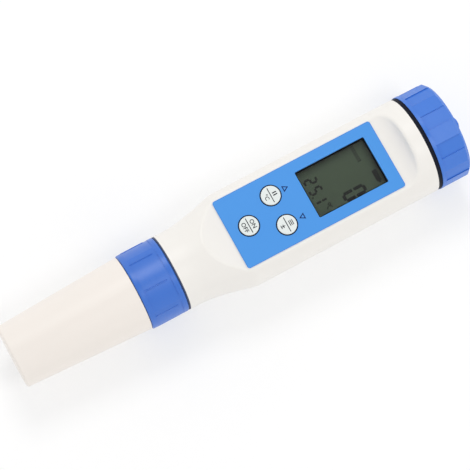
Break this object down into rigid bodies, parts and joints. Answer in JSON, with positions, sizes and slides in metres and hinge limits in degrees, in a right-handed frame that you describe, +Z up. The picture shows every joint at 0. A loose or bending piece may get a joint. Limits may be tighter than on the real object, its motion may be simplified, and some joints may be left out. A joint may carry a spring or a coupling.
{
  "type": "water quality test pen",
  "caption": "Hand-held water tester: capped probe, screw collar, flared round body with cut-away face, window and keys, ribbed battery cap with eye.",
  "frame": {"origin": "under the middle of the pen, on the surface that it lies on, face up", "axes": "+X along the pen from the probe cap to the battery cap, +Z up through the face, +Y across it"},
  "size_m": [0.188, 0.0384, 0.0384],
  "materials": {
    "white_shell": "satin moulded warm white",
    "blue_plastic": "semi-gloss moulded blue",
    "blue_film": "printed polyester film",
    "key_white": "satin white key",
    "dark_rubber": "moulded black-blue rubber",
    "window_clear": "clear polished pane",
    "display_cell": "grey-green liquid crystal cell",
    "electrode_dark": "fine moulded black",
    "sensor_glass": "thin blown glass",
    "silver_metal": "drawn silver wire",
    "steel": "drawn stainless tube",
    "nickel_contact": "nickel plated strip",
    "cell_can": "pressed steel can",
    "ceramic": "porous ceramic",
    "gold_pin": "gold plated pin",
    "board_green": "solder-masked board",
    "flex_amber": "amber film cable",
    "part_black": "moulded component body",
    "shield_can": "stamped shield can",
    "frame_white": "moulded frame",
    "strip_grey": "layered elastomer strip"
  },
  "bodies": {
    "housing": {"housing": "white_shell", "neck_seal": "dark_rubber", "connector_socket": "electrode_dark", "connector_board": "board_green", "flex_cable": "flex_amber", "circuit_board": "board_green", "switches": "part_black", "display_frame": "frame_white", "display_glass": "display_cell", "display_gasket": "dark_rubber", "contact_strips": "strip_grey", "main_chip": "part_black", "radio_module": "shield_can", "display_window": "window_clear", "face_overlay": "blue_film", "button_seals": "dark_rubber", "battery_carrier": "frame_white", "carrier_screws": "steel", "front_contact": "nickel_contact", "rear_contact": "nickel_contact", "button_cells": "cell_can"},
    "electrode": {"electrode_body": "electrode_dark", "bulb_guard": "electrode_dark", "ph_glass": "sensor_glass", "silver_wire": "silver_metal", "reference_junction": "ceramic", "temperature_probe": "steel", "conductivity_pins": "steel", "connector_pins": "gold_pin", "cap_o_ring": "dark_rubber", "plug_o_ring": "dark_rubber", "collar_gasket": "dark_rubber"},
    "collar": {"electrode_collar": "blue_plastic"},
    "probe_cap": {"probe_cap": "white_shell"},
    "seal_ring": {"battery_seal": "dark_rubber"},
    "battery_cap": {"battery_cap": "blue_plastic"},
    "power_key": {"power_button": "key_white"},
    "up_key": {"up_button": "key_white"},
    "down_key": {"down_button": "key_white"}
  },
  "joints": [
    {"name": "collar_turn", "type": "hinge", "parent": "electrode", "child": "collar", "pos_m": [-0.0362, 0, 0.0192], "axis": [-1, 0, 0], "range_deg": [0, 1440]},
    {"name": "electrode_slide", "type": "slide", "parent": "housing", "child": "electrode", "axis": [-1, 0, 0], "range_m": [0, 0.008]},
    {"name": "probe_cap_slide", "type": "slide", "parent": "electrode", "child": "probe_cap", "axis": [-1, 0, 0], "range_m": [0, 0.045]},
    {"name": "seal_slide", "type": "slide", "parent": "housing", "child": "seal_ring", "axis": [1, 0, 0], "range_m": [0, 0.008]},
    {"name": "battery_cap_turn", "type": "hinge", "parent": "seal_ring", "child": "battery_cap", "pos_m": [0.08275, 0, 0.0192], "axis": [1, 0, 0], "range_deg": [0, 1440]},
    {"name": "power_press", "type": "slide", "parent": "housing", "child": "power_key", "axis": [0, 0, -1], "range_m": [0, 0.0005], "stiffness_N_per_m": 1500, "springref_m": -0.0002},
    {"name": "up_press", "type": "slide", "parent": "housing", "child": "up_key", "axis": [0, 0, -1], "range_m": [0, 0.0005], "stiffness_N_per_m": 1500, "springref_m": -0.0002},
    {"name": "down_press", "type": "slide", "parent": "housing", "child": "down_key", "axis": [0, 0, -1], "range_m": [0, 0.0005], "stiffness_N_per_m": 1500, "springref_m": -0.0002}
  ],
  "couplings": [
    {"joint": "collar_turn", "follows": "electrode_slide", "rad_per_m": 3141.6},
    {"joint": "battery_cap_turn", "follows": "seal_slide", "rad_per_m": 3141.6}
  ]
}
